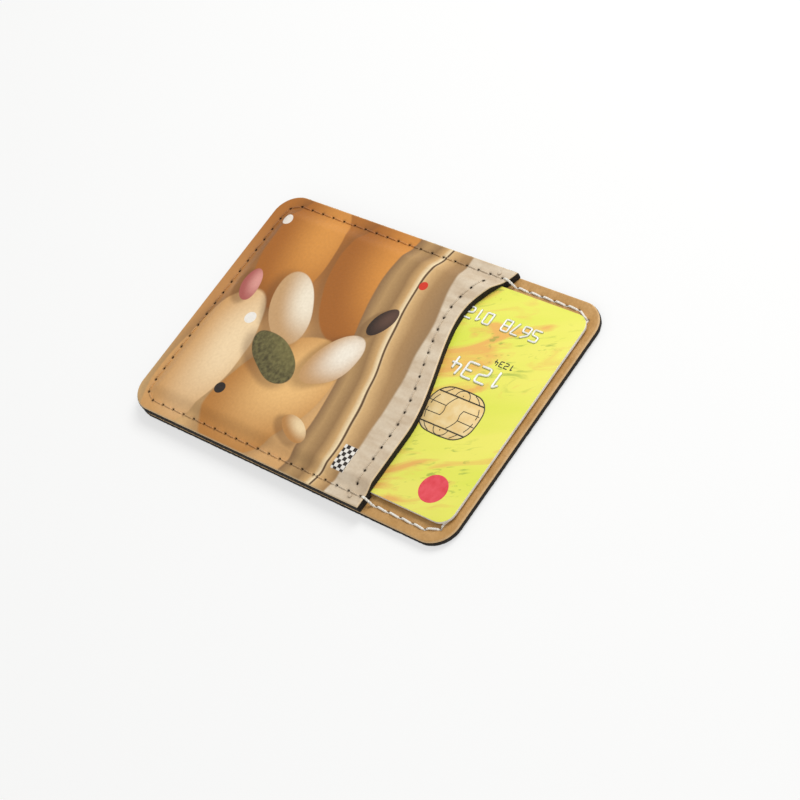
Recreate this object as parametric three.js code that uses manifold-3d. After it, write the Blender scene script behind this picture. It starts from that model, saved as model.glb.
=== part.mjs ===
// Stick-on card holder, holding one card.
// Two sewn panels form a pocket that is open at one end. Each panel is a black
// core with a thin coloured skin. The front panel is shorter, has an S-shaped
// mouth with an ear at each side, and arches over the card. One seam runs
// round both panels, a second one follows the mouth, and an adhesive foam pad
// covers the back panel's underside inside the seam.
// Millimetres, +Z from the pad to the front panel, +Y towards the open end.

import * as THREE from 'three';
import { mergeGeometries, mergeVertices } from 'three/addons/utils/BufferGeometryUtils.js';
import Module from 'manifold-3d';

const wasm = await Module();
wasm.setup();

// Card
const CARD_WIDTH = 53.98;
const CARD_LENGTH = 85.6;
const CARD_THICKNESS = 0.76;
const CARD_CORNER_RADIUS = 3.18;
const CONTACT_LENGTH = 13.8;
const CONTACT_WIDTH = 11.3;
const CONTACT_CORNER_RADIUS = 4.4;
const CONTACT_THICKNESS = 0.25;
const CONTACT_CLEARANCE = 0.03;
const CONTACT_FROM_CARD_END = 15.15;
const CONTACT_OFF_CENTRE = 4.2;
const CARD_OFF_CENTRE = -0.25;

// Panels, measured from the card and the seam outwards
const CARD_TO_SIDE_SEAM = 1.71;
const CARD_TO_CLOSED_SEAM = 1.78;
const CARD_TO_OPEN_EDGE = 1.67;
const SIDE_SEAM_INSET = 2.5;
const CLOSED_SEAM_INSET = 3.15;
const OPEN_SEAM_INSET = 2.6;
const PANEL_CORNER_RADIUS = 6.0;

// Layers
const PAD_THICKNESS = 0.5;
const PAD_INSIDE_SEAM = 1.6;
const PAD_CORNER_RADIUS = 3.0;
const BACK_CORE_THICKNESS = 1.05;
const BACK_SKIN_THICKNESS = 0.45;
const FRONT_CORE_THICKNESS = 1.7;
const FRONT_SKIN_THICKNESS = 0.3;

// Pocket and arch of the front panel
const CARD_ROOF_CLEARANCE = 0.07;
const POCKET_SIDE_CLEARANCE = 0.45;
const POCKET_EDGE_SLOPE = 0.3;
const ARCH_HEIGHT = 1.0;
const ARCH_START = 3.0;
const ARCH_SPAN = 3.4;

// Mouth of the front panel, each distance measured from the open end
const FAR_EAR_FROM_OPEN = 23.8;
const DIP_FROM_OPEN = 29.0;
const DIP_X = -17.3;
const SHOULDER_FROM_OPEN = 22.0;
const SHOULDER_X = 13.0;
const NEAR_EAR_FROM_OPEN = 22.0;

// Sewing
const THREAD_DIAMETER = 0.4;
const THREAD_CLEARANCE = 0.05;
const HOLE_LENGTH = 1.1;
const HOLE_WIDTH = 0.6;
const GROOVE_WIDTH = 0.76;
const SIDE_STITCHES = 24;
const END_STITCHES = 15;
const SIDE_ROW_FROM_OPEN = 6.4;
const SIDE_ROW_FROM_CLOSED = 6.3;
const END_ROW_FROM_SIDE = 7.2;
const CORNER_HOLE_IN_X = 1.45;
const CORNER_HOLE_IN_Y = 0.6;
const MOUTH_SEAM_INSET = 3.1;
const MOUTH_STITCHES = 18;
const MOUTH_ROW_FROM_SIDE = 4.6;
const THREAD_END_FROM_SIDE = 1.65;
const THREAD_END_DIAMETER = 1.0;
const THREAD_END_HEIGHT = 0.3;

// Derived sizes
const halfWidth = CARD_WIDTH / 2 + CARD_TO_SIDE_SEAM + SIDE_SEAM_INSET;
const holderLength = CARD_TO_OPEN_EDGE + CARD_LENGTH + CARD_TO_CLOSED_SEAM + CLOSED_SEAM_INSET;
const openY = holderLength / 2;
const closedY = -holderLength / 2;
const sideSeamX = halfWidth - SIDE_SEAM_INSET;
const threadRadius = THREAD_DIAMETER / 2;

const backCoreZ = PAD_THICKNESS;
const backSkinZ = backCoreZ + BACK_CORE_THICKNESS;
const pocketFloorZ = backSkinZ + BACK_SKIN_THICKNESS;
const frontTopZ = pocketFloorZ + FRONT_CORE_THICKNESS + FRONT_SKIN_THICKNESS;
const threadRise = THREAD_CLEARANCE + threadRadius;
const cardZ = pocketFloorZ + threadRise + threadRadius;
const pocketRoofZ = cardZ + CARD_THICKNESS + CARD_ROOF_CLEARANCE;

const material = (color, roughness, metalness = 0) =>
  new THREE.MeshStandardMaterial({ color, roughness, metalness });

const materials = {
  tan: material(0xc9a066, 0.62),
  print: material(0xd9a45c, 0.5),
  core: material(0x16150f, 0.95),
  foam: material(0x202124, 0.9),
  whiteThread: material(0xf2ede2, 0.7),
  darkThread: material(0x2a2723, 0.8),
  printThread: material(0xb98f5d, 0.7),
  card: material(0xe8ec5a, 0.35),
  gold: material(0xf3d48a, 0.3, 0.6),
};

// Closed mesh with shared corners, ready to be cut or joined
function weld(geometry) {
  const bare = geometry.clone();
  bare.deleteAttribute('normal');
  bare.deleteAttribute('uv');
  return mergeVertices(bare, 1e-5);
}

function toSolid(geometry) {
  const welded = weld(geometry);
  return new wasm.Manifold(new wasm.Mesh({
    numProp: 3,
    vertProperties: new Float32Array(welded.attributes.position.array),
    triVerts: new Uint32Array(welded.index.array),
  }));
}

function toGeometry(solid) {
  const mesh = solid.getMesh();
  const geometry = new THREE.BufferGeometry();
  geometry.setAttribute('position', new THREE.BufferAttribute(mesh.vertProperties, 3));
  geometry.setIndex(new THREE.BufferAttribute(mesh.triVerts, 1));
  geometry.computeVertexNormals();
  return geometry;
}

// Rectangle with round corners between two corners in the plane
function roundedRectangle(x0, y0, x1, y1, radius) {
  const shape = new THREE.Shape();
  shape.moveTo(x0 + radius, y0);
  shape.lineTo(x1 - radius, y0);
  shape.absarc(x1 - radius, y0 + radius, radius, -Math.PI / 2, 0, false);
  shape.lineTo(x1, y1 - radius);
  shape.absarc(x1 - radius, y1 - radius, radius, 0, Math.PI / 2, false);
  shape.lineTo(x0 + radius, y1);
  shape.absarc(x0 + radius, y1 - radius, radius, Math.PI / 2, Math.PI, false);
  shape.lineTo(x0, y0 + radius);
  shape.absarc(x0 + radius, y0 + radius, radius, Math.PI, Math.PI * 1.5, false);
  return shape;
}

function slab(shape, z, depth, curveSegments = 4) {
  const geometry = new THREE.ExtrudeGeometry(shape, { depth, curveSegments, bevelEnabled: false });
  return geometry.translate(0, 0, z);
}

// Mouth line of the front panel, from the far ear to the near ear
const farEar = new THREE.Vector2(-halfWidth, openY - FAR_EAR_FROM_OPEN);
const dip = new THREE.Vector2(DIP_X, openY - DIP_FROM_OPEN);
const shoulder = new THREE.Vector2(SHOULDER_X, openY - SHOULDER_FROM_OPEN);
const nearEar = new THREE.Vector2(halfWidth, openY - NEAR_EAR_FROM_OPEN);
const reach = (from, to, share) => from.x + (to.x - from.x) * share;
const mouth = new THREE.CurvePath();
mouth.add(new THREE.CubicBezierCurve(
  farEar,
  new THREE.Vector2(reach(farEar, dip, 0.28), farEar.y + (dip.y - farEar.y) * 0.22),
  new THREE.Vector2(reach(farEar, dip, 0.58), dip.y),
  dip,
));
mouth.add(new THREE.CubicBezierCurve(
  dip,
  new THREE.Vector2(reach(dip, shoulder, 0.28), dip.y),
  new THREE.Vector2(reach(dip, shoulder, 0.67), shoulder.y),
  shoulder,
));
mouth.add(new THREE.CubicBezierCurve(
  shoulder,
  new THREE.Vector2(reach(shoulder, nearEar, 0.33), shoulder.y),
  new THREE.Vector2(reach(shoulder, nearEar, 0.66), nearEar.y),
  nearEar,
));
const mouthPoints = mouth.getPoints(24);

function mouthY(x) {
  const i = Math.max(1, mouthPoints.findIndex((p) => p.x >= x - 1e-9));
  const a = mouthPoints[i - 1];
  const b = mouthPoints[i];
  return a.y + (b.y - a.y) * ((x - a.x) / (b.x - a.x));
}

// Closed end of the panels, with its round corners
function closedEndY(x) {
  const past = Math.max(0, Math.abs(x) - (halfWidth - PANEL_CORNER_RADIUS));
  return closedY + PANEL_CORNER_RADIUS - Math.sqrt(PANEL_CORNER_RADIUS ** 2 - past ** 2);
}

// Distance from the sides and the closed end, inwards
function edgeDistance(x, y) {
  const qx = Math.abs(x) - (halfWidth - PANEL_CORNER_RADIUS);
  const qy = closedY + PANEL_CORNER_RADIUS - y;
  const outside = Math.hypot(Math.max(qx, 0), Math.max(qy, 0));
  return PANEL_CORNER_RADIUS - outside - Math.min(Math.max(qx, qy), 0);
}

// Height of the front face: flat along the seam, arched over the card
function frontZ(x, y) {
  const t = THREE.MathUtils.smoothstep(edgeDistance(x, y), ARCH_START, ARCH_START + ARCH_SPAN);
  return frontTopZ + ARCH_HEIGHT * t;
}

// Stations of the front panel's lattice
const archSteps = [0, 0.2, 0.4, 0.6, 0.8, 1].map((t) => ARCH_START + ARCH_SPAN * t);
const rimSteps = [0, 0.3, 1, 1.9, ...archSteps];
const middleHalf = halfWidth - archSteps[archSteps.length - 1];
const middleColumns = 14;
const columns = [
  ...rimSteps.map((d) => -halfWidth + d),
  ...Array.from({ length: middleColumns - 1 }, (_, i) => (
    -middleHalf + (2 * middleHalf * (i + 1)) / middleColumns)),
  ...rimSteps.map((d) => halfWidth - d).reverse(),
];
const rows = [0, 1.5, ...archSteps, ARCH_START + ARCH_SPAN + PANEL_CORNER_RADIUS];

// Sheet with the front panel's outline, between a flat underside and its arched face
function frontSheet(bottomZ, below) {
  const nx = columns.length - 1;
  const ny = rows.length;
  const geometry = new THREE.BoxGeometry(2, 2, 2, nx, ny, 1);
  const p = geometry.attributes.position;
  for (let k = 0; k < p.count; k += 1) {
    const x = columns[Math.round(((p.getX(k) + 1) / 2) * nx)];
    const row = Math.round(((p.getY(k) + 1) / 2) * ny);
    const y = row < ny ? closedEndY(x) + rows[row] : mouthY(x);
    p.setXYZ(k, x, y, p.getZ(k) < 0 ? bottomZ : frontZ(x, y) - below);
  }
  return geometry;
}

// Holes of the seam round both panels. It starts and ends under the card.
const sideTop = openY - SIDE_ROW_FROM_OPEN;
const sideBottom = closedY + SIDE_ROW_FROM_CLOSED;
const endRowX = halfWidth - END_ROW_FROM_SIDE;
const openSeamY = openY - OPEN_SEAM_INSET;
const closedSeamY = closedY + CLOSED_SEAM_INSET;
const cornerX = sideSeamX - CORNER_HOLE_IN_X;
const cornerOpenY = openSeamY - CORNER_HOLE_IN_Y;
const cornerClosedY = closedSeamY + CORNER_HOLE_IN_Y;

function holeRow(x0, y0, x1, y1, stitches) {
  return Array.from({ length: stitches + 1 }, (_, i) => new THREE.Vector2(
    x0 + ((x1 - x0) * i) / stitches,
    y0 + ((y1 - y0) * i) / stitches,
  ));
}

const openRow = holeRow(endRowX, openSeamY, -endRowX, openSeamY, END_STITCHES);
const seamStart = Math.ceil(END_STITCHES / 2);
const seamHoles = [
  ...openRow.slice(seamStart),
  new THREE.Vector2(-cornerX, cornerOpenY),
  ...holeRow(-sideSeamX, sideTop, -sideSeamX, sideBottom, SIDE_STITCHES),
  new THREE.Vector2(-cornerX, cornerClosedY),
  ...holeRow(-endRowX, closedSeamY, endRowX, closedSeamY, END_STITCHES),
  new THREE.Vector2(cornerX, cornerClosedY),
  ...holeRow(sideSeamX, sideBottom, sideSeamX, sideTop, SIDE_STITCHES),
  new THREE.Vector2(cornerX, cornerOpenY),
  ...openRow.slice(0, seamStart),
];

// Holes of the seam along the mouth, evenly spaced on a line inside its edge
const mouthRowX = halfWidth - MOUTH_ROW_FROM_SIDE;
const insideMouth = mouthPoints.slice(1, -1).map((p) => {
  const slope = (mouthY(p.x + 0.5) - mouthY(p.x - 0.5));
  return p.clone().addScaledVector(new THREE.Vector2(slope, -1).normalize(), MOUTH_SEAM_INSET);
}).filter((p) => Math.abs(p.x) < mouthRowX);
const mouthHoles = new THREE.SplineCurve(insideMouth).getSpacedPoints(MOUTH_STITCHES);
const threadEndX = halfWidth - THREAD_END_FROM_SIDE;
const threadEnds = [-threadEndX, threadEndX].map((x) => (
  new THREE.Vector2(x, mouthY(x) - MOUTH_SEAM_INSET)));

const onFrontPanel = (p) => p.y < mouthY(THREE.MathUtils.clamp(p.x, -halfWidth, halfWidth));

// Box over the line from a to b, longer by the given ends
function boxAlong(a, b, ends, width, z0, z1) {
  const run = b.clone().sub(a);
  const box = new THREE.BoxGeometry(run.length() + 2 * ends, width, z1 - z0);
  box.rotateZ(run.angle());
  return box.translate((a.x + b.x) / 2, (a.y + b.y) / 2, (z0 + z1) / 2);
}

// Slots where a row of holes goes through the sheets
function slots(holes, z0, z1) {
  return mergeGeometries(holes.map((hole, i) => {
    const before = holes[Math.max(0, i - 1)];
    const after = holes[Math.min(holes.length - 1, i + 1)];
    const way = after.clone().sub(before).setLength(HOLE_LENGTH / 2);
    return boxAlong(hole.clone().sub(way), hole.clone().add(way), 0, HOLE_WIDTH, z0, z1);
  }));
}

// Thread along chosen points, each with its level direction of travel
class ThreadPath extends THREE.Curve {
  constructor(knots) {
    super();
    this.knots = knots;
  }

  getPoint(t) {
    const at = t * (this.knots.length - 1);
    const i = Math.min(Math.floor(at), this.knots.length - 2);
    return this.knots[i].point.clone().lerp(this.knots[i + 1].point, at - i);
  }

  getSpacedPoints() {
    return this.knots.map((knot) => knot.point.clone());
  }

  computeFrenetFrames() {
    const frames = { tangents: [], normals: [], binormals: [] };
    this.knots.forEach(({ point, way }, i) => {
      const before = this.knots[i - 1];
      const after = this.knots[i + 1];
      const tangent = new THREE.Vector3();
      if (before) tangent.add(point.clone().sub(before.point).normalize());
      if (after) tangent.add(after.point.clone().sub(point).normalize());
      const pitch = Math.atan2(tangent.z, tangent.x * way.x + tangent.y * way.y);
      const normal = new THREE.Vector3(-Math.sin(pitch) * way.x, -Math.sin(pitch) * way.y, Math.cos(pitch));
      frames.tangents.push(tangent.normalize());
      frames.normals.push(normal);
      frames.binormals.push(new THREE.Vector3(way.y, -way.x, 0));
    });
    return frames;
  }
}

const knot = (p, z, way) => ({ point: new THREE.Vector3(p.x, p.y, z), way });

// Running stitches: over the surface between the holes and down into each hole
function stitchKnots(holes, surfaceZ, turnZ, midKnots, overLip = true) {
  const knots = [];
  const bend = HOLE_LENGTH / 2 - threadRadius;
  holes.forEach((hole, i) => {
    const next = holes[i + 1];
    const last = holes[i - 1];
    const into = last ? hole.clone().sub(last).normalize() : next.clone().sub(hole).normalize();
    const out = next ? next.clone().sub(hole).normalize() : into;
    knots.push(knot(hole, turnZ(hole), into.clone().add(out).normalize()));
    if (!next) return;
    const start = hole.clone().addScaledVector(out, bend);
    const end = next.clone().addScaledVector(out, -bend);
    knots.push(knot(start, surfaceZ(start), out));
    if (overLip && onFrontPanel(hole) !== onFrontPanel(next)) {
      const lip = new THREE.Vector2(hole.x, mouthY(hole.x) + threadRise);
      knots.push(knot(lip, frontTopZ + threadRise, out));
    }
    for (let k = 1; k <= midKnots; k += 1) {
      const middle = start.clone().lerp(end, k / (midKnots + 1));
      knots.push(knot(middle, surfaceZ(middle), out));
    }
    knots.push(knot(end, surfaceZ(end), out));
  });
  return knots;
}

function thread(knots, sides) {
  const section = new THREE.Shape();
  for (let k = 0; k < sides; k += 1) {
    const angle = (2 * Math.PI * (k + 0.5)) / sides;
    section[k ? 'lineTo' : 'moveTo'](threadRadius * Math.cos(angle), threadRadius * Math.sin(angle));
  }
  section.closePath();
  return new THREE.ExtrudeGeometry(section, {
    steps: knots.length - 1,
    extrudePath: new ThreadPath(knots),
  });
}

const seamSlots = toSolid(slots(seamHoles, -PAD_THICKNESS, frontTopZ + ARCH_HEIGHT));
const mouthSlots = toSolid(slots(mouthHoles, pocketFloorZ, frontTopZ + 2 * ARCH_HEIGHT));
const lockZ = (p) => (backCoreZ + (onFrontPanel(p) ? frontTopZ : pocketFloorZ)) / 2;

// Back panel
const panelOutline = roundedRectangle(-halfWidth, closedY, halfWidth, openY, PANEL_CORNER_RADIUS);
const backCore = toSolid(slab(panelOutline, backCoreZ, BACK_CORE_THICKNESS)).subtract(seamSlots);
const backSkin = toSolid(slab(panelOutline, backSkinZ, BACK_SKIN_THICKNESS)).subtract(seamSlots);

// Adhesive pad, inside the seam
const padHalf = sideSeamX - PAD_INSIDE_SEAM;
const padOutline = roundedRectangle(
  -padHalf,
  closedSeamY + PAD_INSIDE_SEAM,
  padHalf,
  openSeamY - PAD_INSIDE_SEAM,
  PAD_CORNER_RADIUS,
);

// Card, lying on the stitches at the open end
const cardX = CARD_OFF_CENTRE;
const cardEndY = openY - CARD_TO_OPEN_EDGE;
const cardStartY = cardEndY - CARD_LENGTH;
const cardTopZ = cardZ + CARD_THICKNESS;
const cardOutline = roundedRectangle(
  cardX - CARD_WIDTH / 2,
  cardStartY,
  cardX + CARD_WIDTH / 2,
  cardEndY,
  CARD_CORNER_RADIUS,
);

function contactOutline(margin) {
  const x = cardX + CONTACT_OFF_CENTRE;
  const y = cardEndY - CONTACT_FROM_CARD_END;
  return roundedRectangle(
    x - CONTACT_WIDTH / 2 - margin,
    y - CONTACT_LENGTH / 2 - margin,
    x + CONTACT_WIDTH / 2 + margin,
    y + CONTACT_LENGTH / 2 + margin,
    CONTACT_CORNER_RADIUS + margin,
  );
}

const contactZ = cardTopZ - CONTACT_THICKNESS;
const cardBody = toSolid(slab(cardOutline, cardZ, CARD_THICKNESS))
  .subtract(toSolid(slab(contactOutline(CONTACT_CLEARANCE), contactZ, 2 * CONTACT_THICKNESS)));

// Pocket under the front panel, round the card, with sloping sides
const pocketOutline = roundedRectangle(
  cardX - CARD_WIDTH / 2 - POCKET_SIDE_CLEARANCE + POCKET_EDGE_SLOPE,
  cardStartY - POCKET_SIDE_CLEARANCE + POCKET_EDGE_SLOPE,
  cardX + CARD_WIDTH / 2 + POCKET_SIDE_CLEARANCE - POCKET_EDGE_SLOPE,
  openY,
  CARD_CORNER_RADIUS,
);
const pocketDepth = pocketRoofZ - POCKET_EDGE_SLOPE;
const pocket = toSolid(new THREE.ExtrudeGeometry(pocketOutline, {
  depth: pocketDepth,
  bevelThickness: POCKET_EDGE_SLOPE,
  bevelSize: POCKET_EDGE_SLOPE,
  bevelSegments: 1,
  curveSegments: 3,
}));

// Front panel
const frontBlank = toSolid(frontSheet(pocketFloorZ, 0));
const frontCoreBlank = toSolid(frontSheet(pocketFloorZ, FRONT_SKIN_THICKNESS));
const frontSkin = frontBlank.subtract(frontCoreBlank).subtract(seamSlots).subtract(mouthSlots);
let frontCore = frontCoreBlank.subtract(pocket).subtract(seamSlots).subtract(mouthSlots);

// Thread of the mouth seam's underside lies in a groove of the core, and its
// ends come up through the panel beside the ears
const grooveTopZ = pocketRoofZ + 2 * threadRise;
const groovePath = [threadEnds[0], ...mouthHoles, threadEnds[1]];
groovePath.slice(1).forEach((hole, i) => {
  const groove = boxAlong(groovePath[i], hole, GROOVE_WIDTH / 2, GROOVE_WIDTH, 0, grooveTopZ);
  frontCore = frontCore.subtract(toSolid(groove));
});
let pierced = frontSkin;
threadEnds.forEach((end) => {
  const across = new THREE.Vector2(HOLE_WIDTH / 2, 0);
  const well = boxAlong(end.clone().sub(across), end.clone().add(across), 0, HOLE_WIDTH, 0, 2 * frontTopZ);
  frontCore = frontCore.subtract(toSolid(well));
  pierced = pierced.subtract(toSolid(well));
});

// Threads
const seamNeedle = thread(stitchKnots(
  seamHoles,
  (p) => (onFrontPanel(p) ? frontZ(p.x, p.y) : pocketFloorZ) + threadRise,
  (p) => lockZ(p) + threadRise,
  0,
), 5);
const seamBobbin = thread(stitchKnots(
  seamHoles,
  () => backCoreZ - threadRise,
  (p) => lockZ(p) - threadRise,
  0,
  false,
), 4);

const archZ = (p) => (
  Math.max(frontZ(p.x - THREAD_DIAMETER, p.y), frontZ(p.x + THREAD_DIAMETER, p.y)));
const mouthLockZ = (p) => (pocketRoofZ + frontZ(p.x, p.y)) / 2;
const mouthNeedle = thread(stitchKnots(
  mouthHoles,
  (p) => archZ(p) + threadRise,
  (p) => mouthLockZ(p) + threadRise,
  2,
), 5);

const beadZ = frontTopZ + THREAD_CLEARANCE;
function endKnots(end, hole) {
  const way = hole.clone().sub(end).normalize();
  return [
    knot(end, beadZ + THREAD_END_HEIGHT / 2, way),
    knot(end, pocketRoofZ + threadRise, way),
  ];
}
const lastHole = mouthHoles[mouthHoles.length - 1];
const leaving = endKnots(threadEnds[1], lastHole).reverse()
  .map(({ point, way }) => ({ point, way: way.clone().negate() }));
let mouthBobbin = toSolid(thread([
  ...endKnots(threadEnds[0], mouthHoles[0]),
  ...stitchKnots(
    mouthHoles,
    () => pocketRoofZ + threadRise,
    (p) => mouthLockZ(p) - threadRise,
    0,
    false,
  ),
  ...leaving,
], 4));
threadEnds.forEach((end) => {
  const bead = new THREE.LatheGeometry([
    new THREE.Vector2(0, 0),
    new THREE.Vector2(THREAD_END_DIAMETER / 2, 0),
    new THREE.Vector2(THREAD_END_DIAMETER / 2.4, THREAD_END_HEIGHT * 0.7),
    new THREE.Vector2(0, THREAD_END_HEIGHT),
  ], 10).rotateX(Math.PI / 2).translate(end.x, end.y, beadZ);
  mouthBobbin = mouthBobbin.add(toSolid(bead));
});

const holder = new THREE.Group();
const pieces = [
  ['adhesive_pad', slab(padOutline, 0, PAD_THICKNESS), materials.foam],
  ['back_core', toGeometry(backCore), materials.core],
  ['back_skin', toGeometry(backSkin), materials.tan],
  ['front_core', toGeometry(frontCore), materials.core],
  ['front_skin', toGeometry(pierced), materials.print],
  ['seam_needle_thread', seamNeedle, materials.whiteThread],
  ['seam_bobbin_thread', seamBobbin, materials.darkThread],
  ['mouth_needle_thread', mouthNeedle, materials.printThread],
  ['mouth_bobbin_thread', toGeometry(mouthBobbin), materials.darkThread],
  ['card_body', toGeometry(cardBody), materials.card],
  ['card_contact_plate', slab(contactOutline(0), contactZ, CONTACT_THICKNESS), materials.gold],
];
pieces.forEach(([name, geometry, finish]) => {
  const mesh = new THREE.Mesh(geometry, finish);
  mesh.name = name;
  holder.add(mesh);
});

export default holder;
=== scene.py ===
# %% [markdown]
# # A stick-on card holder with one card
# The holder is two sewn panels of faux leather on black fibre board. The back panel is a full
# rounded rectangle, the front panel is shorter and arches over the card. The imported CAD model
# gives every place and size. This script dresses it: sheets with needle holes, twisted thread,
# fuzzy cut edges, raised digits and procedural materials.

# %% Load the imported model
import math
import random

import bmesh
import bpy
from mathutils import Matrix, Vector, kdtree, noise


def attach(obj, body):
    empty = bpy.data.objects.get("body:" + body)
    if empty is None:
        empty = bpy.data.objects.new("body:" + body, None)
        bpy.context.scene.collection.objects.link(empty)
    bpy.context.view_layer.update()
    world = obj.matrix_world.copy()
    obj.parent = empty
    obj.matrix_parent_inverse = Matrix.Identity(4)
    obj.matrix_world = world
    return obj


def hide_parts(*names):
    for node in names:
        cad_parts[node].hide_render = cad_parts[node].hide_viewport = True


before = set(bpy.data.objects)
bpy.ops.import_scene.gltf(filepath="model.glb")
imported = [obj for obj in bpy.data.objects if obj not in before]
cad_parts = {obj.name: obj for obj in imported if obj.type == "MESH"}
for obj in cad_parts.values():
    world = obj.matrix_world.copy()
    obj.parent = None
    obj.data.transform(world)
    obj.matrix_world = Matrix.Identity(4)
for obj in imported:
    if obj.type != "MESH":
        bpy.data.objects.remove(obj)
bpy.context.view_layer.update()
random.seed(7)
print("CAD nodes:", sorted(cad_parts))

# %% [markdown]
# All sizes are written in millimetres, as a maker would note them. Blender works in metres, so one
# helper turns a point round. A second one clears the selection, because every operator acts on
# whatever is selected.

# %% Units and selection
MM = 0.001


def point(x, y, z):
    return Vector((x * MM, y * MM, z * MM))


def deselect():
    if bpy.context.object and bpy.context.object.mode != "OBJECT":
        bpy.ops.object.mode_set(mode="OBJECT")
    bpy.ops.object.select_all(action="DESELECT")


def activate(piece):
    deselect()
    piece.select_set(True)
    bpy.context.view_layer.objects.active = piece


def select_edges(piece, wanted):
    """Enters edit mode with just those edges selected whose two ends pass the test."""
    activate(piece)
    bpy.ops.object.mode_set(mode="EDIT")
    bpy.ops.mesh.select_mode(type="EDGE")
    bpy.ops.mesh.select_all(action="DESELECT")
    bpy.ops.object.mode_set(mode="OBJECT")
    for edge in piece.data.edges:
        edge.select = wanted(*(piece.data.vertices[k].co for k in edge.vertices))
    bpy.ops.object.mode_set(mode="EDIT")


def finish_piece(piece, materials=(), nodes=(), smooth_deg=40):
    """Shades the piece, puts its place into its mesh and lets it ride on the holder."""
    for material in materials:
        piece.data.materials.append(material)
    activate(piece)
    bpy.ops.object.transform_apply(location=True, rotation=True, scale=True)
    bpy.ops.object.shade_smooth_by_angle(angle=math.radians(smooth_deg))
    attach(piece, "root")
    if nodes:
        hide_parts(*nodes)
    print(piece.name, len(piece.data.polygons), "faces")
    return piece


# %% [markdown]
# The camera comes first. The photograph looks down at the holder from its open end, with a long
# lens. The three axes below are the camera's own right, up and back, in the model's frame.

# %% Camera
camera_data = bpy.data.cameras.new("camera")
camera_data.lens = 92.92
camera_data.sensor_width = 36
camera_data.clip_start = 0.01
camera_data.clip_end = 20
camera = bpy.data.objects.new("camera", camera_data)
bpy.context.scene.collection.objects.link(camera)
camera_axes = (
    (-0.56154, 0.74069, -0.36886),
    (-0.77283, -0.31021, 0.55362),
    (0.29564, 0.59595, 0.74662),
)
turn = Matrix(camera_axes).transposed().to_4x4()
camera.matrix_world = Matrix.Translation(point(133.083, 273.068, 324.935)) @ turn
bpy.context.scene.camera = camera
print("camera", [round(c, 3) for c in camera.location], "lens", camera_data.lens)

# %% [markdown]
# The main sizes are those of the CAD model, so that each dressed piece lies where its solid lies.

# %% Sizes of the holder
HALF_WIDTH = 31.2
OPEN_Y = 46.1
CLOSED_Y = -46.1
CORNER = 6.0
PAD_TOP = 0.5
BACK_BOARD_TOP = 1.55
FLOOR_Z = 2.0
FRONT_TOP = 4.0
FRONT_SKIN = 0.3
ARCH_HEIGHT = 1.0
ARCH_START = 3.0
ARCH_SPAN = 3.4
CARD_BASE = 2.45
CARD_TOP = 3.21
ROOF = 3.28

# %% [markdown]
# The front panel's mouth is a long S: an ear at each side, a dip where a thumb pushes the card,
# and a shoulder. Three Bezier arcs give it, and a small function reads the mouth's height at any x.

# %% Mouth line
FAR_EAR = (-HALF_WIDTH, 22.3)
DIP = (-17.3, 17.1)
SHOULDER = (13.0, 24.1)
NEAR_EAR = (HALF_WIDTH, 24.1)


def share(a, b, t):
    return a + (b - a) * t


def between(a, b, t):
    """The point that lies a share t of the way from a to b."""
    return (share(a[0], b[0], t), share(a[1], b[1], t))


MOUTH_ARCS = (
    (FAR_EAR, (share(FAR_EAR[0], DIP[0], 0.28), share(FAR_EAR[1], DIP[1], 0.22)),
     (share(FAR_EAR[0], DIP[0], 0.58), DIP[1]), DIP),
    (DIP, (share(DIP[0], SHOULDER[0], 0.28), DIP[1]),
     (share(DIP[0], SHOULDER[0], 0.67), SHOULDER[1]), SHOULDER),
    (SHOULDER, (share(SHOULDER[0], NEAR_EAR[0], 0.33), SHOULDER[1]),
     (share(SHOULDER[0], NEAR_EAR[0], 0.66), NEAR_EAR[1]), NEAR_EAR),
)


def arc_point(arc, t):
    weights = ((1 - t) ** 3, 3 * t * (1 - t) ** 2, 3 * t * t * (1 - t), t ** 3)
    return tuple(sum(w * p[k] for w, p in zip(weights, arc)) for k in (0, 1))


ARC_STEPS = 60
mouth_points = [arc_point(arc, k / ARC_STEPS) for arc in MOUTH_ARCS for k in range(ARC_STEPS)]
mouth_points.append(NEAR_EAR)


def mouth_y(x):
    x = min(max(x, -HALF_WIDTH), HALF_WIDTH)
    for a, b in zip(mouth_points, mouth_points[1:]):
        if b[0] >= x:
            return share(a[1], b[1], (x - a[0]) / (b[0] - a[0]))
    return NEAR_EAR[1]


print("mouth at the dip", round(mouth_y(DIP[0]), 2), "and at the shoulder",
      round(mouth_y(SHOULDER[0]), 2))

# %% [markdown]
# The face is flat where it is sewn and arches over the card. The same smooth step as in the CAD
# model gives its height, so the skin lies on its board.

# %% Height of the front face


def end_drop(x):
    """How far the round corners pull the end of a panel inwards at x."""
    past = max(0.0, abs(x) - (HALF_WIDTH - CORNER))
    return CORNER - math.sqrt(max(0.0, CORNER ** 2 - past ** 2))


def edge_distance(x, y):
    qx = abs(x) - (HALF_WIDTH - CORNER)
    qy = CLOSED_Y + CORNER - y
    return CORNER - math.hypot(max(qx, 0), max(qy, 0)) - min(max(qx, qy), 0)


def smooth_step(t):
    t = min(max(t, 0.0), 1.0)
    return t * t * (3 - 2 * t)


def front_z(x, y):
    return FRONT_TOP + ARCH_HEIGHT * smooth_step((edge_distance(x, y) - ARCH_START) / ARCH_SPAN)


def on_front(x, y):
    return y < mouth_y(x)


# %% [markdown]
# The needle made its holes at an even pitch: down both sides, across both ends, with one chord
# over each corner. The mouth has a row of its own, a fixed distance inside the edge.

# %% Needle holes
SEAM_INSET = 2.5
SIDE_SEAM_X = HALF_WIDTH - SEAM_INSET
SIDE_STITCHES = 24
END_STITCHES = 15


def hole_row(a, b, stitches):
    return [between(a, b, k / stitches) for k in range(stitches + 1)]


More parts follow.
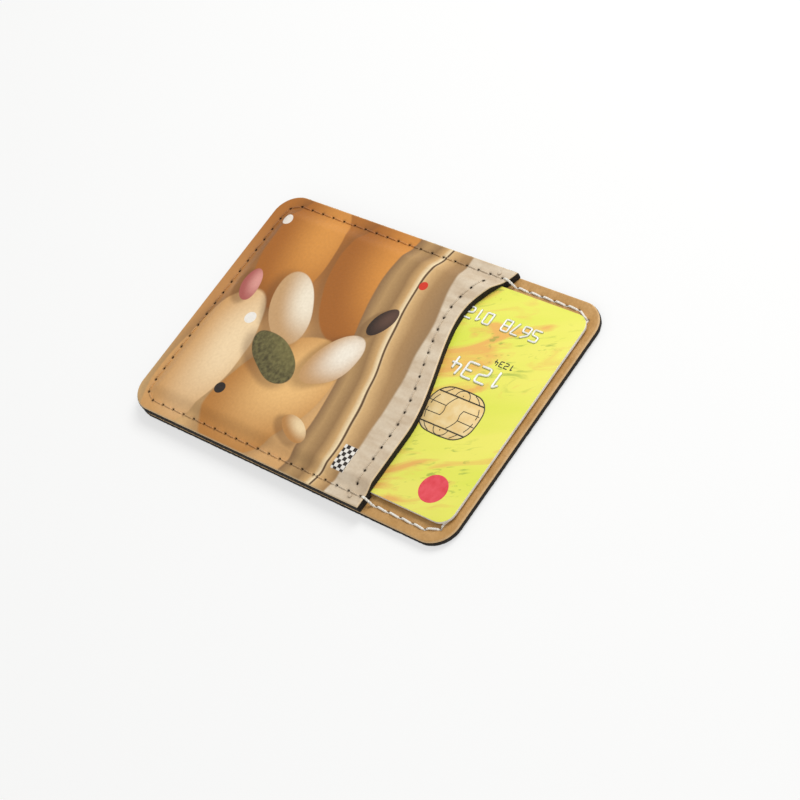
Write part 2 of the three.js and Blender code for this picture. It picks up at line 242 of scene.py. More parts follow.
open_row = hole_row((24.0, 43.5), (-24.0, 43.5), END_STITCHES)
seam_holes = (
    open_row[8:] + [(-27.25, 42.9)]
    + hole_row((-SIDE_SEAM_X, 39.7), (-SIDE_SEAM_X, -39.8), SIDE_STITCHES) + [(-27.25, -42.35)]
    + hole_row((-24.0, -42.95), (24.0, -42.95), END_STITCHES) + [(27.25, -42.35)]
    + hole_row((SIDE_SEAM_X, -39.8), (SIDE_SEAM_X, 39.7), SIDE_STITCHES) + [(27.25, 42.9)]
    + open_row[:8]
)

MOUTH_SEAM_INSET = 3.1
MOUTH_STITCHES = 18
MOUTH_ROW_X = HALF_WIDTH - 4.6


def inside_mouth(p):
    slope = mouth_y(p[0] + 0.5) - mouth_y(p[0] - 0.5)
    long = math.hypot(slope, 1)
    return (p[0] + MOUTH_SEAM_INSET * slope / long, p[1] - MOUTH_SEAM_INSET / long)


def spaced(points, count):
    """Points at even steps along a line."""
    lengths = [0.0]
    for a, b in zip(points, points[1:]):
        lengths.append(lengths[-1] + math.dist(a, b))
    made = []
    for k in range(count + 1):
        at = lengths[-1] * k / count
        i = max(1, next(n for n, far in enumerate(lengths) if far >= at - 1e-9))
        t = (at - lengths[i - 1]) / (lengths[i] - lengths[i - 1])
        made.append(between(points[i - 1], points[i], t))
    return made


mouth_line = [q for q in map(inside_mouth, mouth_points[1:-1]) if abs(q[0]) < MOUTH_ROW_X]
mouth_holes = spaced(mouth_line, MOUTH_STITCHES)
THREAD_ENDS = [(x, mouth_y(x) - MOUTH_SEAM_INSET) for x in (-29.55, 29.55)]
front_holes = [h for h in seam_holes if on_front(*h)] + mouth_holes
strip_holes = [h for h in seam_holes if not on_front(*h)]
print(len(seam_holes), "holes round the panels,", len(mouth_holes), "along the mouth")

# %% [markdown]
# Materials come from a single small function that adds a node with its settings and its links.
# Colours are noted as the sRGB hex values that the eye sees, and one function turns them to the
# linear values that Blender computes with.

# %% Material helpers


def linear(code):
    parts = [int(code[k:k + 2], 16) / 255 for k in (1, 3, 5)]
    return tuple(c / 12.92 if c <= 0.04045 else ((c + 0.055) / 1.055) ** 2.4 for c in parts) + (1.0,)


def add_node(tree, kind, links=None, output=None, **settings):
    """Adds a node. Settings are its own properties, links are sockets or plain values."""
    node = tree.nodes.new("ShaderNode" + kind)
    for name, value in settings.items():
        setattr(node, name, value)
    for socket, value in (links or {}).items():
        if isinstance(value, bpy.types.NodeSocket):
            tree.links.new(value, node.inputs[socket])
        else:
            node.inputs[socket].default_value = value
    return node if output is None else node.outputs[output]


def new_material(name, roughness, **sockets):
    """A material with a Principled shader and the piece's own coordinates."""
    made = bpy.data.materials.new(name)
    made.use_nodes = True
    tree = made.node_tree
    tree.nodes.clear()
    shader = add_node(tree, "BsdfPrincipled", {"Roughness": roughness, **sockets})
    output = add_node(tree, "OutputMaterial", {"Surface": shader.outputs["BSDF"]})
    output.is_active_output = True
    return made, tree, shader, add_node(tree, "TexCoord", output="Object")


def speckle(tree, place, size_mm, detail=2.0, low=0.3, high=0.7):
    """Noise whose blotches are about size_mm wide, spread over 0 to 1."""
    blotches = add_node(tree, "TexNoise", {
        "Vector": place, "Scale": 0.5 / (size_mm * MM), "Detail": detail}, "Fac")
    return add_node(tree, "MapRange", {0: blotches, 1: low, 2: high}, 0)


def speckled_material(name, roughness, size_mm, dark, light, detail=2.0, spread=(0.3, 0.7),
                      relief=(), **sockets):
    """Two shades in fine blotches. relief is the depth in mm and the strength of their bump."""
    made, tree, shader, place = new_material(name, roughness, **sockets)
    blotches = speckle(tree, place, size_mm, detail, *spread)
    tone = add_node(tree, "Mix", {0: blotches, 6: linear(dark), 7: linear(light)}, 2, data_type="RGBA")
    tree.links.new(tone, shader.inputs["Base Color"])
    if relief:
        bump = add_node(tree, "Bump", {
            "Height": blotches, "Distance": relief[0] * MM, "Strength": relief[1]}, "Normal")
        tree.links.new(bump, shader.inputs["Normal"])
    return made


# %% [markdown]
# Faux leather is a polyurethane film, embossed with a fine grain. Its cut rim is paler, where the
# die scraped the film. Around each needle hole the film is darkened as painted shade, standing for
# the shade in the hole and in its dimple. Painted attributes say how near a point is to the rim or
# to a hole. One function lays grain, rim and the painted shade at the holes over the film's own colour.

# %% Grain, rim and painted shade at the holes of the leather
PORE_DETAIL, PORE_LOW, PORE_HIGH = 3.0, 0.25, 0.75


def lay_grain_rim_and_hole_shade(tree, shader, place, film, grain_mm, grain_share, shades, relief):
    """shades are the colours in the pores, on the rim and of the painted shade at the holes. relief is
    as above.
    """
    pores = speckle(tree, place, grain_mm, PORE_DETAIL, PORE_LOW, PORE_HIGH)
    masks = [add_node(tree, "Math", {0: pores, 1: grain_share}, 0, operation="MULTIPLY")]
    masks += [add_node(tree, "Attribute", output="Fac", attribute_name=name) for name in ("rim", "hole_shade")]
    for mask, code in zip(masks, shades):
        film = add_node(tree, "Mix", {0: mask, 6: film, 7: linear(code)}, 2, data_type="RGBA")
    bump = add_node(tree, "Bump", {
        "Height": pores, "Distance": relief[0] * MM, "Strength": relief[1]}, "Normal")
    tree.links.new(film, shader.inputs["Base Color"])
    tree.links.new(bump, shader.inputs["Normal"])


# %% [markdown]
# The bare film is dull to the eye. Its grain is near 0.3 mm wide, over a soft mottle of 1.6 mm.

# %% Tan polyurethane leather
tan_leather, tree, shader, place = new_material("tan_polyurethane_leather", 0.58)
mottle = speckle(tree, place, 1.6, 4.0)
film = add_node(tree, "Mix", {0: mottle, 6: linear("#B8894A"), 7: linear("#CDA064")}, 2,
                data_type="RGBA")
# The last colour, #4A3520, is painted shade at the needle holes
lay_grain_rim_and_hole_shade(tree, shader, place, film, 0.3, 0.45, ("#A27840", "#DDB988", "#4A3520"), (0.06, 0.7))
print(tan_leather.name)

# %% [markdown]
# The front panel is printed all over. The print is a generic one: an amber ground with large round
# forms, a bronze band with soft light streaks, and a beige strip along the mouth. It is a group, so
# the thread, which was sewn before printing, can carry the same colours.

# %% Print as a node group
pattern = bpy.data.node_groups.new("warm_print", "ShaderNodeTree")
pattern.interface.new_socket("Place", in_out="INPUT", socket_type="NodeSocketVector")
pattern.interface.new_socket("Colour", in_out="OUTPUT", socket_type="NodeSocketColor")
group_in = pattern.nodes.new("NodeGroupInput")
group_out = pattern.nodes.new("NodeGroupOutput")
in_mm = add_node(pattern, "VectorMath", {0: group_in.outputs[0], 1: (1 / MM, 1 / MM, 0)}, 0,
                 operation="MULTIPLY")
waver = add_node(pattern, "TexNoise", {"Vector": in_mm, "Scale": 0.06, "Detail": 1.0}, "Color")
waver = add_node(pattern, "VectorMath", {0: waver, 1: (0.5, 0.5, 0.5)}, 0, operation="SUBTRACT")
waver = add_node(pattern, "VectorMath", {0: waver, "Scale": 3.2}, 0, operation="SCALE")
drawn = add_node(pattern, "VectorMath", {0: in_mm, 1: waver}, 0, operation="ADD")
drawn_x, drawn_y, _ = add_node(pattern, "SeparateXYZ", {0: drawn}).outputs


def lay_paint(under, value, bare, full, paint, most=1.0):
    """Lays paint over what is there: none where value is bare, and the most where it is full."""
    mask = add_node(pattern, "MapRange", {0: value, 1: bare, 2: full, 4: most}, 0,
                    interpolation_type="SMOOTHSTEP")
    return add_node(pattern, "Mix", {0: mask, 6: under, 7: paint}, 2, data_type="RGBA")


def round_form(centre, size, angle_deg, place_mm, light=(0, 0)):
    """Distance from the middle of an ellipse, or from its lit spot: 0 there and 1 on the rim."""
    turned = add_node(pattern, "Mapping", {
        "Vector": place_mm, "Scale": (size[0], size[1], 1000),
        "Rotation": (0, 0, math.radians(angle_deg)),
        "Location": (centre[0] + light[0] * size[0], centre[1] + light[1] * size[0], 0)},
        0, vector_type="TEXTURE")
    return add_node(pattern, "VectorMath", {0: turned}, "Value", operation="LENGTH")


def paint_form(under, centre, size, angle, lit, shaded, soft=0.05, shadow=0.45):
    """Paints a cushion-like ellipse, lit from one side, with a soft shadow on what lies under it."""
    cast = round_form((centre[0] + 1.2, centre[1] - 1.4), size, angle, drawn)
    under = lay_paint(under, cast, 1.25, 0.85, linear("#5E3A1A"), shadow)
    spot = round_form(centre, size, angle, drawn, light=(-0.3, 0.25))
    body = lay_paint(linear(lit), spot, 0.1, 1.35, linear(shaded))
    return lay_paint(under, round_form(centre, size, angle, drawn), 1.0, 1.0 - soft, body)


# Amber ground, lighter towards the near side, with broad soft folds
ground = lay_paint(linear("#B06C26"), drawn_x, -30, 32, linear("#EFC486"))
folds = add_node(pattern, "TexWave", {
    "Vector": drawn, "Scale": 0.012, "Distortion": 6.0, "Detail": 2.0, "Detail Scale": 0.6},
    "Fac", bands_direction="DIAGONAL")
folds = add_node(pattern, "Math", {0: folds, 1: 0.45}, 0, operation="MULTIPLY")
picture = add_node(pattern, "Mix", {0: folds, 6: ground, 7: linear("#B06D28")}, 2, data_type="RGBA")
for form in (
    ((-16, -8), (19, 11), 18, "#DE9440", "#A5621F"),
    ((17, -13), (18, 12), -28, "#F2C07A", "#B97C38"),
    ((-18, -31), (17, 10), 8, "#DD9644", "#A9651F"),
    ((15, -35), (21, 9.5), -6, "#F8DBAE", "#D29E60"),
):
    picture = paint_form(picture, *form)
print(len(pattern.nodes), "nodes for the ground")

# %% [markdown]
# The bronze band and the beige strip are regions of y whose border waves with x. Light streaks in
# the band make it look like a cushion of metallic leather.

# %% Bands of the print


def beyond_wave(pace, phase, height, level):
    """How far a point lies beyond a border that waves across the panel."""
    wave = add_node(pattern, "Math", {0: drawn_x, 1: pace, 2: phase}, 0, operation="MULTIPLY_ADD")
    wave = add_node(pattern, "Math", {0: wave}, 0, operation="SINE")
    wave = add_node(pattern, "Math", {0: wave, 1: height, 2: level}, 0, operation="MULTIPLY_ADD")
    return add_node(pattern, "Math", {0: drawn_y, 1: wave}, 0, operation="SUBTRACT")


BAND_WIDTH = 17
BAND_SEAM = 9.5
past_border = beyond_wave(0.075, 0, 4.0, -2.0)
streaks = add_node(pattern, "ValToRGB", {
    0: add_node(pattern, "MapRange", {0: past_border, 1: 0, 2: BAND_WIDTH}, 0)})
ramp = streaks.color_ramp
ramp.elements[0].color = linear("#8A6844")
ramp.elements[1].color = linear("#9C7A52")
for at, code in ((0.16, "#B8925F"), (0.34, "#9A764A"), (0.46, "#CFA56C"), (0.53, "#F5DFB4"),
                 (0.6, "#DBB37A"), (0.78, "#AE8757")):
    ramp.elements.new(at).color = linear(code)
seam_line = add_node(pattern, "Math", {0: past_border, 1: BAND_SEAM}, 0, operation="SUBTRACT")
seam_line = add_node(pattern, "Math", {0: seam_line}, 0, operation="ABSOLUTE")
bronze = lay_paint(streaks.outputs["Color"], seam_line, 0.45, 0.1, linear("#5C4124"))
picture = lay_paint(picture, past_border, -0.2, 0.3, bronze)

past_strip = beyond_wave(0.06, 0.6, 3.0, 13.0)
stretched = add_node(pattern, "VectorMath", {0: in_mm, 1: (MM, MM / 4, MM)}, 0, operation="MULTIPLY")
beige = add_node(pattern, "Mix", {
    0: speckle(pattern, stretched, 1.2, 4.0), 6: linear("#C9B396"), 7: linear("#E1D1B8")},
    2, data_type="RGBA")
picture = lay_paint(picture, past_strip, -0.3, 0.4, beige)

# %% [markdown]
# A few smaller round forms in cream, olive, brown and rose, and some plain dots, give the print the
# same liveliness and the same range of colours as a picture would.

# %% Smaller forms of the print
picture = paint_form(picture, (-4, -22), (10.5, 5.6), 35, "#F7EAD2", "#C9A070")
picture = paint_form(picture, (4, -3.5), (8.5, 4.8), -32, "#F8EEDC", "#C79A66")
leaf = ((8.5, -18), (9, 4.2), 62)
picture = paint_form(picture, *leaf, "#655F34", "#3C381C")
flat_place = add_node(pattern, "VectorMath", {0: in_mm, 1: (MM, MM, MM)}, 0, operation="MULTIPLY")
knit = speckle(pattern, flat_place, 0.5, 3.0)
knit = add_node(pattern, "Math", {0: knit, 1: 0.6}, 0, operation="MULTIPLY")
picture = lay_paint(picture, round_form(*leaf, drawn), 1.0, 0.93, linear("#8C8450"), knit)
picture = paint_form(picture, (-6, -36.5), (4.8, 2.7), 15, "#E09B90", "#AD5A54")
picture = paint_form(picture, (-8.5, 1.5), (4.2, 2.4), -20, "#5A4034", "#231712")
picture = paint_form(picture, (22, -1), (4.4, 2.6), 65, "#F3D7A8", "#B98347")
for centre, radius, code in (((-24, -40), 1.4, "#EFE6DA"), ((2, -30.5), 1.5, "#F4EFE6"),
                             ((20, -25), 1.4, "#1E1916"), ((-20, 4.5), 1.1, "#D8321E")):
    dot = round_form(centre, (radius, radius), 0, in_mm)
    picture = lay_paint(picture, dot, 1.05, 0.95, linear(code))

# A small patch of checks on the beige strip, with a soft edge of 0.2 mm
checks = add_node(pattern, "TexChecker", {
    "Vector": in_mm, "Color1": linear("#24201D"), "Color2": linear("#EFEBE2"), "Scale": 1.1}, "Color")
flat_x, flat_y, _ = add_node(pattern, "SeparateXYZ", {0: in_mm}).outputs
patch = 1.0
for value, outer, inner in ((flat_x, 19.9, 20.1), (flat_x, 26.1, 25.9),
                            (flat_y, 12.9, 13.1), (flat_y, 16.6, 16.4)):
    patch = add_node(pattern, "MapRange", {0: value, 1: outer, 2: inner, 4: patch}, 0,
                     interpolation_type="SMOOTHSTEP")
picture = add_node(pattern, "Mix", {0: patch, 6: picture, 7: checks}, 2, data_type="RGBA")
pattern.links.new(picture, group_out.inputs[0])
print(len(pattern.nodes), "nodes in the whole print")

# %% [markdown]
# Printed faux leather: the same film, printed and sealed, so it is smoother and a little glossier
# than the bare one. The grain of 0.35 mm still shows through as a fine bump.

# %% Printed polyurethane leather
printed_leather, tree, shader, place = new_material("printed_polyurethane_leather", 0.42)
printed = add_node(tree, "Group", {0: place}, 0, node_tree=pattern)
# The last colour, #3A2817, is painted shade at the needle holes
lay_grain_rim_and_hole_shade(tree, shader, place, printed, 0.35, 0.12, ("#6E4A26", "#E3C79C", "#3A2817"), (0.045, 0.6))
print(printed_leather.name)

# %% [markdown]
# The boards are black latex-bound fibre. Where the die cut them they are fuzzy, and brown fibre
# tips catch the light. The nap is near 0.2 mm, so the noise is drawn at that size. The pad is
# closed-cell polyethylene foam with an adhesive film: dark, with fine cells near 0.3 mm.

# %% Fibre board and foam
fibre_board = speckled_material("black_fibre_board", 0.92, 0.2, "#100E0B", "#332A20", 3.0,
                                (0.35, 0.75), (0.12, 0.8))
fibre_tips = speckled_material("brown_fibre_tips", 0.85, 0.6, "#17120C", "#5A432A")
foam_tape = speckled_material("polyethylene_foam_tape", 0.7, 0.3, "#1C1D1F", "#2E3033", 1.0,
                              relief=(0.03, 0.5))
print(fibre_board.name, fibre_tips.name, foam_tape.name)

# %% [markdown]
# Thread: spun polyester in three plies. On the bare strip it is off-white, under the holder it is
# dark, and on the print it took the ink with the rest of the face. Fine streaks near 0.1 mm stand
# for its filaments.

# %% Polyester threads
white_thread = speckled_material("white_polyester_thread", 0.6, 0.12, "#D9D2C2", "#FBF8F0", 3.0,
                                 **{"Sheen Weight": 0.25})
dark_thread = speckled_material("black_polyester_thread", 0.6, 0.12, "#1B1815", "#35302A", 3.0,
                                **{"Sheen Weight": 0.25})
inked_thread, tree, shader, place = new_material("printed_over_polyester_thread", 0.55,
                                                 **{"Sheen Weight": 0.15})
inked = add_node(tree, "Group", {0: place}, 0, node_tree=pattern)
inked = add_node(tree, "Mix", {0: 0.1, 6: inked, 7: linear("#3B2A1A")}, 2, data_type="RGBA")
tree.links.new(inked, shader.inputs["Base Color"])
print(white_thread.name, dark_thread.name, inked_thread.name)

# %% [markdown]
# The skins are soft sheets, so each starts as a grid primitive whose rows and columns crowd near
# the edges and seams. Its vertices are then moved as in sculpting: onto the outline, up over the
# arch, and down a little wherever the thread pulls the skin into a needle hole.

# %% Grid of a sheet
SEAM_BELT = 7.6
GRID_STEP = 0.42
side_steps = [0, 0.04, 0.1, 0.18, 0.28, 0.42, 0.6, 0.85]
while side_steps[-1] < SEAM_BELT:
    side_steps.append(side_steps[-1] + GRID_STEP)


def face_outwards():
    """Turns every face of the active piece outwards, and leaves edit mode."""
    bpy.ops.object.mode_set(mode="EDIT")
    bpy.ops.mesh.select_all(action="SELECT")
    bpy.ops.mesh.normals_make_consistent(inside=False)
    bpy.ops.object.mode_set(mode="OBJECT")


def sheet(name, columns, low_rows, high_rows, middle_rows, low_edge, high_edge, top, underside):
    """Closed sheet: rows follow the low edge, then the high edge, and spread evenly between."""
    rows = len(low_rows) + middle_rows + len(high_rows)
    deselect()
    bpy.ops.mesh.primitive_grid_add(x_subdivisions=len(columns) - 1, y_subdivisions=rows - 1, size=2)
    piece = bpy.context.object
    piece.name = name
    for v in piece.data.vertices:
        x = columns[round((v.co.x + 1) / 2 * (len(columns) - 1))]
        j = round((v.co.y + 1) / 2 * (rows - 1))
        low, high = low_edge(x), high_edge(x)
        if j < len(low_rows):
            y = low + low_rows[j]
        elif j >= rows - len(high_rows):
            y = high - high_rows[rows - 1 - j]
        else:
            t = (j - len(low_rows) + 1) / (middle_rows + 1)
            y = share(low + low_rows[-1], high - high_rows[-1], t)
        v.co = point(x, y, top(x, y))
    bpy.ops.object.mode_set(mode="EDIT")
    bpy.ops.mesh.select_all(action="SELECT")
    bpy.ops.mesh.extrude_region_move(TRANSFORM_OT_translate={"value": (0, 0, -FRONT_SKIN * MM)})
    bpy.ops.object.mode_set(mode="OBJECT")
    for v in piece.data.vertices:
        if v.select:
            v.co.z = underside(v.co.x / MM, v.co.y / MM) * MM
    face_outwards()
    return piece


print("crowded steps", [round(s, 2) for s in side_steps[:12]])

# %% [markdown]
# Needle holes are cut as on the machine: one slim punch is modelled once, copied to each hole,
# turned along the seam, and all punches are taken out of the sheet with a Boolean modifier.

# %% Punching the holes
# A needle's cut is longer along the seam than across it
PUNCH_RADIUS, PUNCH_SHARES = 0.5, (0.72, 0.5)


def scatter(name, template, places):
    """One object that holds a copy of the template's mesh at each place. The template goes."""
    made = bmesh.new()
    for place in places:
        before = len(made.verts)
        made.from_mesh(template.data)
        made.verts.ensure_lookup_table()
        bmesh.ops.transform(made, matrix=place, verts=made.verts[before:])
    mesh = bpy.data.meshes.new(name)
    made.to_mesh(mesh)
    made.free()
    bpy.data.objects.remove(template)
    piece = bpy.data.objects.new(name, mesh)
    bpy.context.scene.collection.objects.link(piece)
    return piece


def cut_away(piece, cutter, name):
    """Takes one solid out of another, as a Boolean modifier that is applied."""
    cut = piece.modifiers.new(name, "BOOLEAN")
    cut.object = cutter
    cut.operation = "DIFFERENCE"
    cut.solver = "EXACT"
    activate(piece)
    bpy.ops.object.modifier_apply(modifier=cut.name)
    bpy.data.objects.remove(cutter)


def seam_angle(line, k):
    a, b = line[max(0, k - 1)], line[min(len(line) - 1, k + 1)]
    return math.atan2(b[1] - a[1], b[0] - a[0])


def punch_holes(piece, lines, low_z, high_z, wanted):
    deselect()
    bpy.ops.mesh.primitive_cylinder_add(vertices=12, radius=PUNCH_RADIUS * MM,
                                        depth=(high_z - low_z) * MM,
                                        location=point(0, 0, (low_z + high_z) / 2))
    punch = bpy.context.object
    punch.scale = (*PUNCH_SHARES, 1)
    bpy.ops.object.transform_apply(location=True, rotation=True, scale=True)
    places = [Matrix.Translation(point(x, y, 0)) @ Matrix.Rotation(seam_angle(line, k), 4, "Z")
              for line in lines for k, (x, y) in enumerate(line) if wanted(x, y)]
    cut_away(piece, scatter("punches", punch, places), "needle_holes")


# %% [markdown]
# Around each hole the thread pulls the skin down, first steeply and then in a shallow dish. The
# pull and the painted shade at the hole both fade with the distance from the closest hole.

# %% Pull and painted shade at the holes
STEEP_PULL, STEEP_WIDTH = 0.15, 0.42
DISH_PULL, DISH_WIDTH = 0.05, 1.1


def bell(far, width):
    """1 at no distance, fading smoothly to almost nothing at twice the width."""
    return math.exp(-(far / width) ** 2)


def hole_finder(holes):
    finder = kdtree.KDTree(len(holes))
    for k, (x, y) in enumerate(holes):
        finder.insert((x, y, 0), k)
    finder.balance()
    return finder


def pull_of(finder, x, y):
    """Depth by which the thread pulls the skin down near the closest hole."""
    far = finder.find((x, y, 0))[2]
    return STEEP_PULL * bell(far, STEEP_WIDTH) + DISH_PULL * bell(far, DISH_WIDTH)


def store_rim_and_hole_shade(piece, holes, from_edge):
    """Stores how near each vertex is to a cut rim, and to a needle hole for the painted shade there."""
    finder = hole_finder(holes)
    rim = piece.data.attributes.new("rim", "FLOAT", "POINT")
    hole_shade = piece.data.attributes.new("hole_shade", "FLOAT", "POINT")
    for k, v in enumerate(piece.data.vertices):
        x, y = v.co.x / MM, v.co.y / MM
        rim.data[k].value = 0.8 * bell(from_edge(x, y), 0.16)
        # Painted shade in and around each needle hole, within about 0.4 mm of its middle
        hole_shade.data[k].value = 0.8 * math.exp(-(finder.find((x, y, 0))[2] / 0.4) ** 4)


# %% [markdown]
# The front skin carries the print. It is 0.3 mm thick, rolled over at its rim, drawn down along
# the seams, and has the slight unevenness of a hand-fed press.

# %% Front skin
SEAM_CHANNEL = 0.6
front_finder = hole_finder(front_holes)


def front_edge_distance(x, y):
    return max(0.0, min(edge_distance(x, y), (mouth_y(x) - y) * 0.93))


def seam_press(x, y):
    """The stitches press a shallow channel along the seam line."""
    inside = edge_distance(x, y)
    return 0.03 * bell(inside - SEAM_INSET, SEAM_CHANNEL) if inside < 6 else 0.0


def front_top(x, y):
    rolled = max(0.0, 1 - front_edge_distance(x, y) / 0.28)
    uneven = 0.03 * noise.noise(Vector((x * 0.16, y * 0.16, 3)))
    near_mouth = 0.02 * bell(mouth_y(x) - y - MOUTH_SEAM_INSET, 0.7)
    z = front_z(x, y) - 0.2 * rolled ** 2 - pull_of(front_finder, x, y) - seam_press(x, y) - near_mouth
    return z + uneven * min(1, front_edge_distance(x, y))


MIDDLE_COLUMNS = 68
middle_half = HALF_WIDTH - side_steps[-1]
columns = [s - HALF_WIDTH for s in side_steps]
columns += [share(-middle_half, middle_half, k / MIDDLE_COLUMNS) for k in range(1, MIDDLE_COLUMNS)]
columns += [HALF_WIDTH - s for s in reversed(side_steps)]
front_skin = sheet("front_skin_printed", columns, side_steps, side_steps, 84,
                   lambda x: CLOSED_Y + end_drop(x), mouth_y, front_top,
                   lambda x, y: front_z(x, y) - FRONT_SKIN)
punch_holes(front_skin, [seam_holes, mouth_holes, THREAD_ENDS], 3.0, 6.0, on_front)
store_rim_and_hole_shade(front_skin, front_holes + THREAD_ENDS, front_edge_distance)
finish_piece(front_skin, [printed_leather], ["front_skin"])

# %% [markdown]
# The back skin is the tan strip beside and beyond the card. Only its open end shows, so its rows
# are close together there and wide apart under the front panel.

# %% Back skin
HIDDEN_Y = 15
strip_finder = hole_finder(strip_holes)


def back_edge_distance(x, y):
    return max(0.0, edge_distance(x, -abs(y)))


def back_top(x, y):
    rolled = max(0.0, 1 - back_edge_distance(x, y) / 0.3)
    if y < HIDDEN_Y:
        return FLOOR_Z - 0.2 * rolled ** 2
    uneven = 0.03 * noise.noise(Vector((x * 0.2, y * 0.2, 8)))
    pressed = 0.06 * bell(back_edge_distance(x, y) - SEAM_INSET, SEAM_CHANNEL)
    return (FLOOR_Z - 0.25 * rolled ** 2 - pull_of(strip_finder, x, y) - pressed
            + uneven * min(1, back_edge_distance(x, y)))


open_rows = list(side_steps)
while open_rows[-1] < 26:
    open_rows.append(open_rows[-1] + 0.5)
back_skin = sheet("back_skin_tan", columns, side_steps[:6] + [0.8, 2, 4], open_rows, 30,
                  lambda x: CLOSED_Y + end_drop(x), lambda x: OPEN_Y - end_drop(x), back_top,
                  lambda x, y: BACK_BOARD_TOP)
punch_holes(back_skin, [seam_holes], 1.2, 2.6, lambda x, y: not on_front(x, y))
store_rim_and_hole_shade(back_skin, strip_holes, back_edge_distance)
finish_piece(back_skin, [tan_leather], ["back_skin"])

# %% [markdown]
# The two boards keep their CAD solids, which have the right outline, pocket and thread channels,
# and so does the thread inside the front board, whose melted ends show beside the ears. They only
# get their materials.

# %% Boards and thread ends
for node, material in (("front_core", fibre_board), ("back_core", fibre_board),
                       ("mouth_bobbin_thread", inked_thread)):
    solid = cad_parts[node]
    solid.data.materials.clear()
    solid.data.materials.append(material)
    print(node, "gets", material.name)

# %% [markdown]
# A die leaves the board's cut edge fuzzy. The nap is a thin rough band that follows the cut, one
# grid primitive bent round the outline, and a scatter of short fibres, one cone copied many times.

# %% Outlines


def even_steps(outline, gap):
    closed = outline + [outline[0]]
    total = sum(math.dist(a, b) for a, b in zip(closed, closed[1:]))
    return spaced(closed, round(total / gap))[:-1]


def corner_arc(cx, cy, start_deg, radius, steps):
    """Points of a quarter circle."""
    angles = [math.radians(start_deg + 90 * k / steps) for k in range(steps + 1)]
    return [(cx + radius * math.cos(a), cy + radius * math.sin(a)) for a in angles]


def rounded_loop(low, high, radius, steps):
    """A rectangle with round corners, from its lower left corner on."""
    x0, y0, x1, y1 = low[0] + radius, low[1] + radius, high[0] - radius, high[1] - radius
    return [p for cx, cy, start in ((x0, y0, 180), (x1, y0, 270), (x1, y1, 0), (x0, y1, 90))
            for p in corner_arc(cx, cy, start, radius, steps)]


back_outline = rounded_loop((-HALF_WIDTH, CLOSED_Y), (HALF_WIDTH, OPEN_Y), CORNER, 16)
front_outline = back_outline[:len(back_outline) // 2] + mouth_points[::-1]
print(len(back_outline), len(front_outline), "outline points")

# %% Fuzzy cut edges
POCKET_SIDES = (-27.6, 27.1)
NAP_STEP, NAP_THICKNESS = 0.3, 0.16
FIBRE_LENGTHS = (0.14, 0.34)


def cut_edge(name, outline, low_of, high_of, fibres):
    stations = even_steps(outline, NAP_STEP)
    count = len(stations)
    normals = []
    for k, (x, y) in enumerate(stations):
        ax, ay = stations[k - 1]
        bx, by = stations[(k + 1) % count]
        long = math.dist((ax, ay), (bx, by))
        normals.append(((by - ay) / long, -(bx - ax) / long))
    deselect()
    bpy.ops.mesh.primitive_grid_add(x_subdivisions=count, y_subdivisions=8, size=2)
    band = bpy.context.object
    band.name = name
    for v in band.data.vertices:
        k = round((v.co.x + 1) / 2 * count) % count
        t = (v.co.y + 1) / 2
        x, y = stations[k]
        nx, ny = normals[k]
        z = share(low_of(x, y), high_of(x, y), t)
        rough = noise.noise(Vector((x, y, z * 1.6)) * 2.1) + 0.6 * noise.noise(Vector((x, y, z)) * 5.0)
        out = 0.05 + 0.07 * rough + 0.05 * math.sin(math.pi * t)
        v.co = point(x + nx * out, y + ny * out, z)
    bpy.ops.object.mode_set(mode="EDIT")
    bpy.ops.mesh.select_all(action="SELECT")
    bpy.ops.mesh.remove_doubles(threshold=0.001 * MM)
    face_outwards()
    thick = band.modifiers.new("thickness", "SOLIDIFY")
    thick.thickness = NAP_THICKNESS * MM
    thick.offset = -1
    activate(band)
    bpy.ops.object.modifier_apply(modifier=thick.name)
    bpy.ops.mesh.primitive_cone_add(vertices=3, radius1=0.035 * MM, radius2=0.008 * MM, depth=1 * MM,
                                    location=point(0, 0, 0.5))
    fibre = bpy.context.object
    bpy.ops.object.transform_apply(location=True, rotation=True, scale=True)
    places = []
    for _ in range(fibres):
        k = random.randrange(count)
        x, y = stations[k]
        nx, ny = normals[k]
        z = share(low_of(x, y), high_of(x, y), 0.1 + 0.85 * random.random() ** 0.5)
        along = Vector((-ny, nx, 0)) * random.uniform(-1, 1)
        way = Vector((nx, ny, 0)) * random.uniform(0.1, 0.5) + along
        way += Vector((0, 0, random.uniform(-0.5, 0.6)))
        size = random.uniform(*FIBRE_LENGTHS)
        lean = Vector((0, 0, 1)).rotation_difference(way).to_matrix().to_4x4()
        root = Matrix.Translation(point(x + nx * 0.06, y + ny * 0.06, z))
        places.append(root @ lean @ Matrix.Scale(size, 4))
    fluff = scatter(name + "_fibres", fibre, places)
    finish_piece(band, [fibre_board], smooth_deg=180)
    finish_piece(fluff, [fibre_tips])


def front_board_low(x, y):
    """At the mouth the board ends on the pocket's roof, elsewhere on the back panel."""
    at_mouth = y > 0 and mouth_y(x) - y < 1 and POCKET_SIDES[0] < x < POCKET_SIDES[1]
    return ROOF + 0.04 if at_mouth else FLOOR_Z + 0.02


cut_edge("front_board_cut_edge", front_outline, front_board_low,
         lambda x, y: front_z(x, y) - FRONT_SKIN, 3000)
cut_edge("back_board_cut_edge", back_outline, lambda x, y: PAD_TOP + 0.02,
         lambda x, y: BACK_BOARD_TOP, 2200)

# %% [markdown]
# One stitch is modelled once: a cylinder, cut into rings, pressed to three lobes for the three
# plies and twisted. Each copy is then laid along its own line, from a needle hole, over the
# surface, into the next hole.

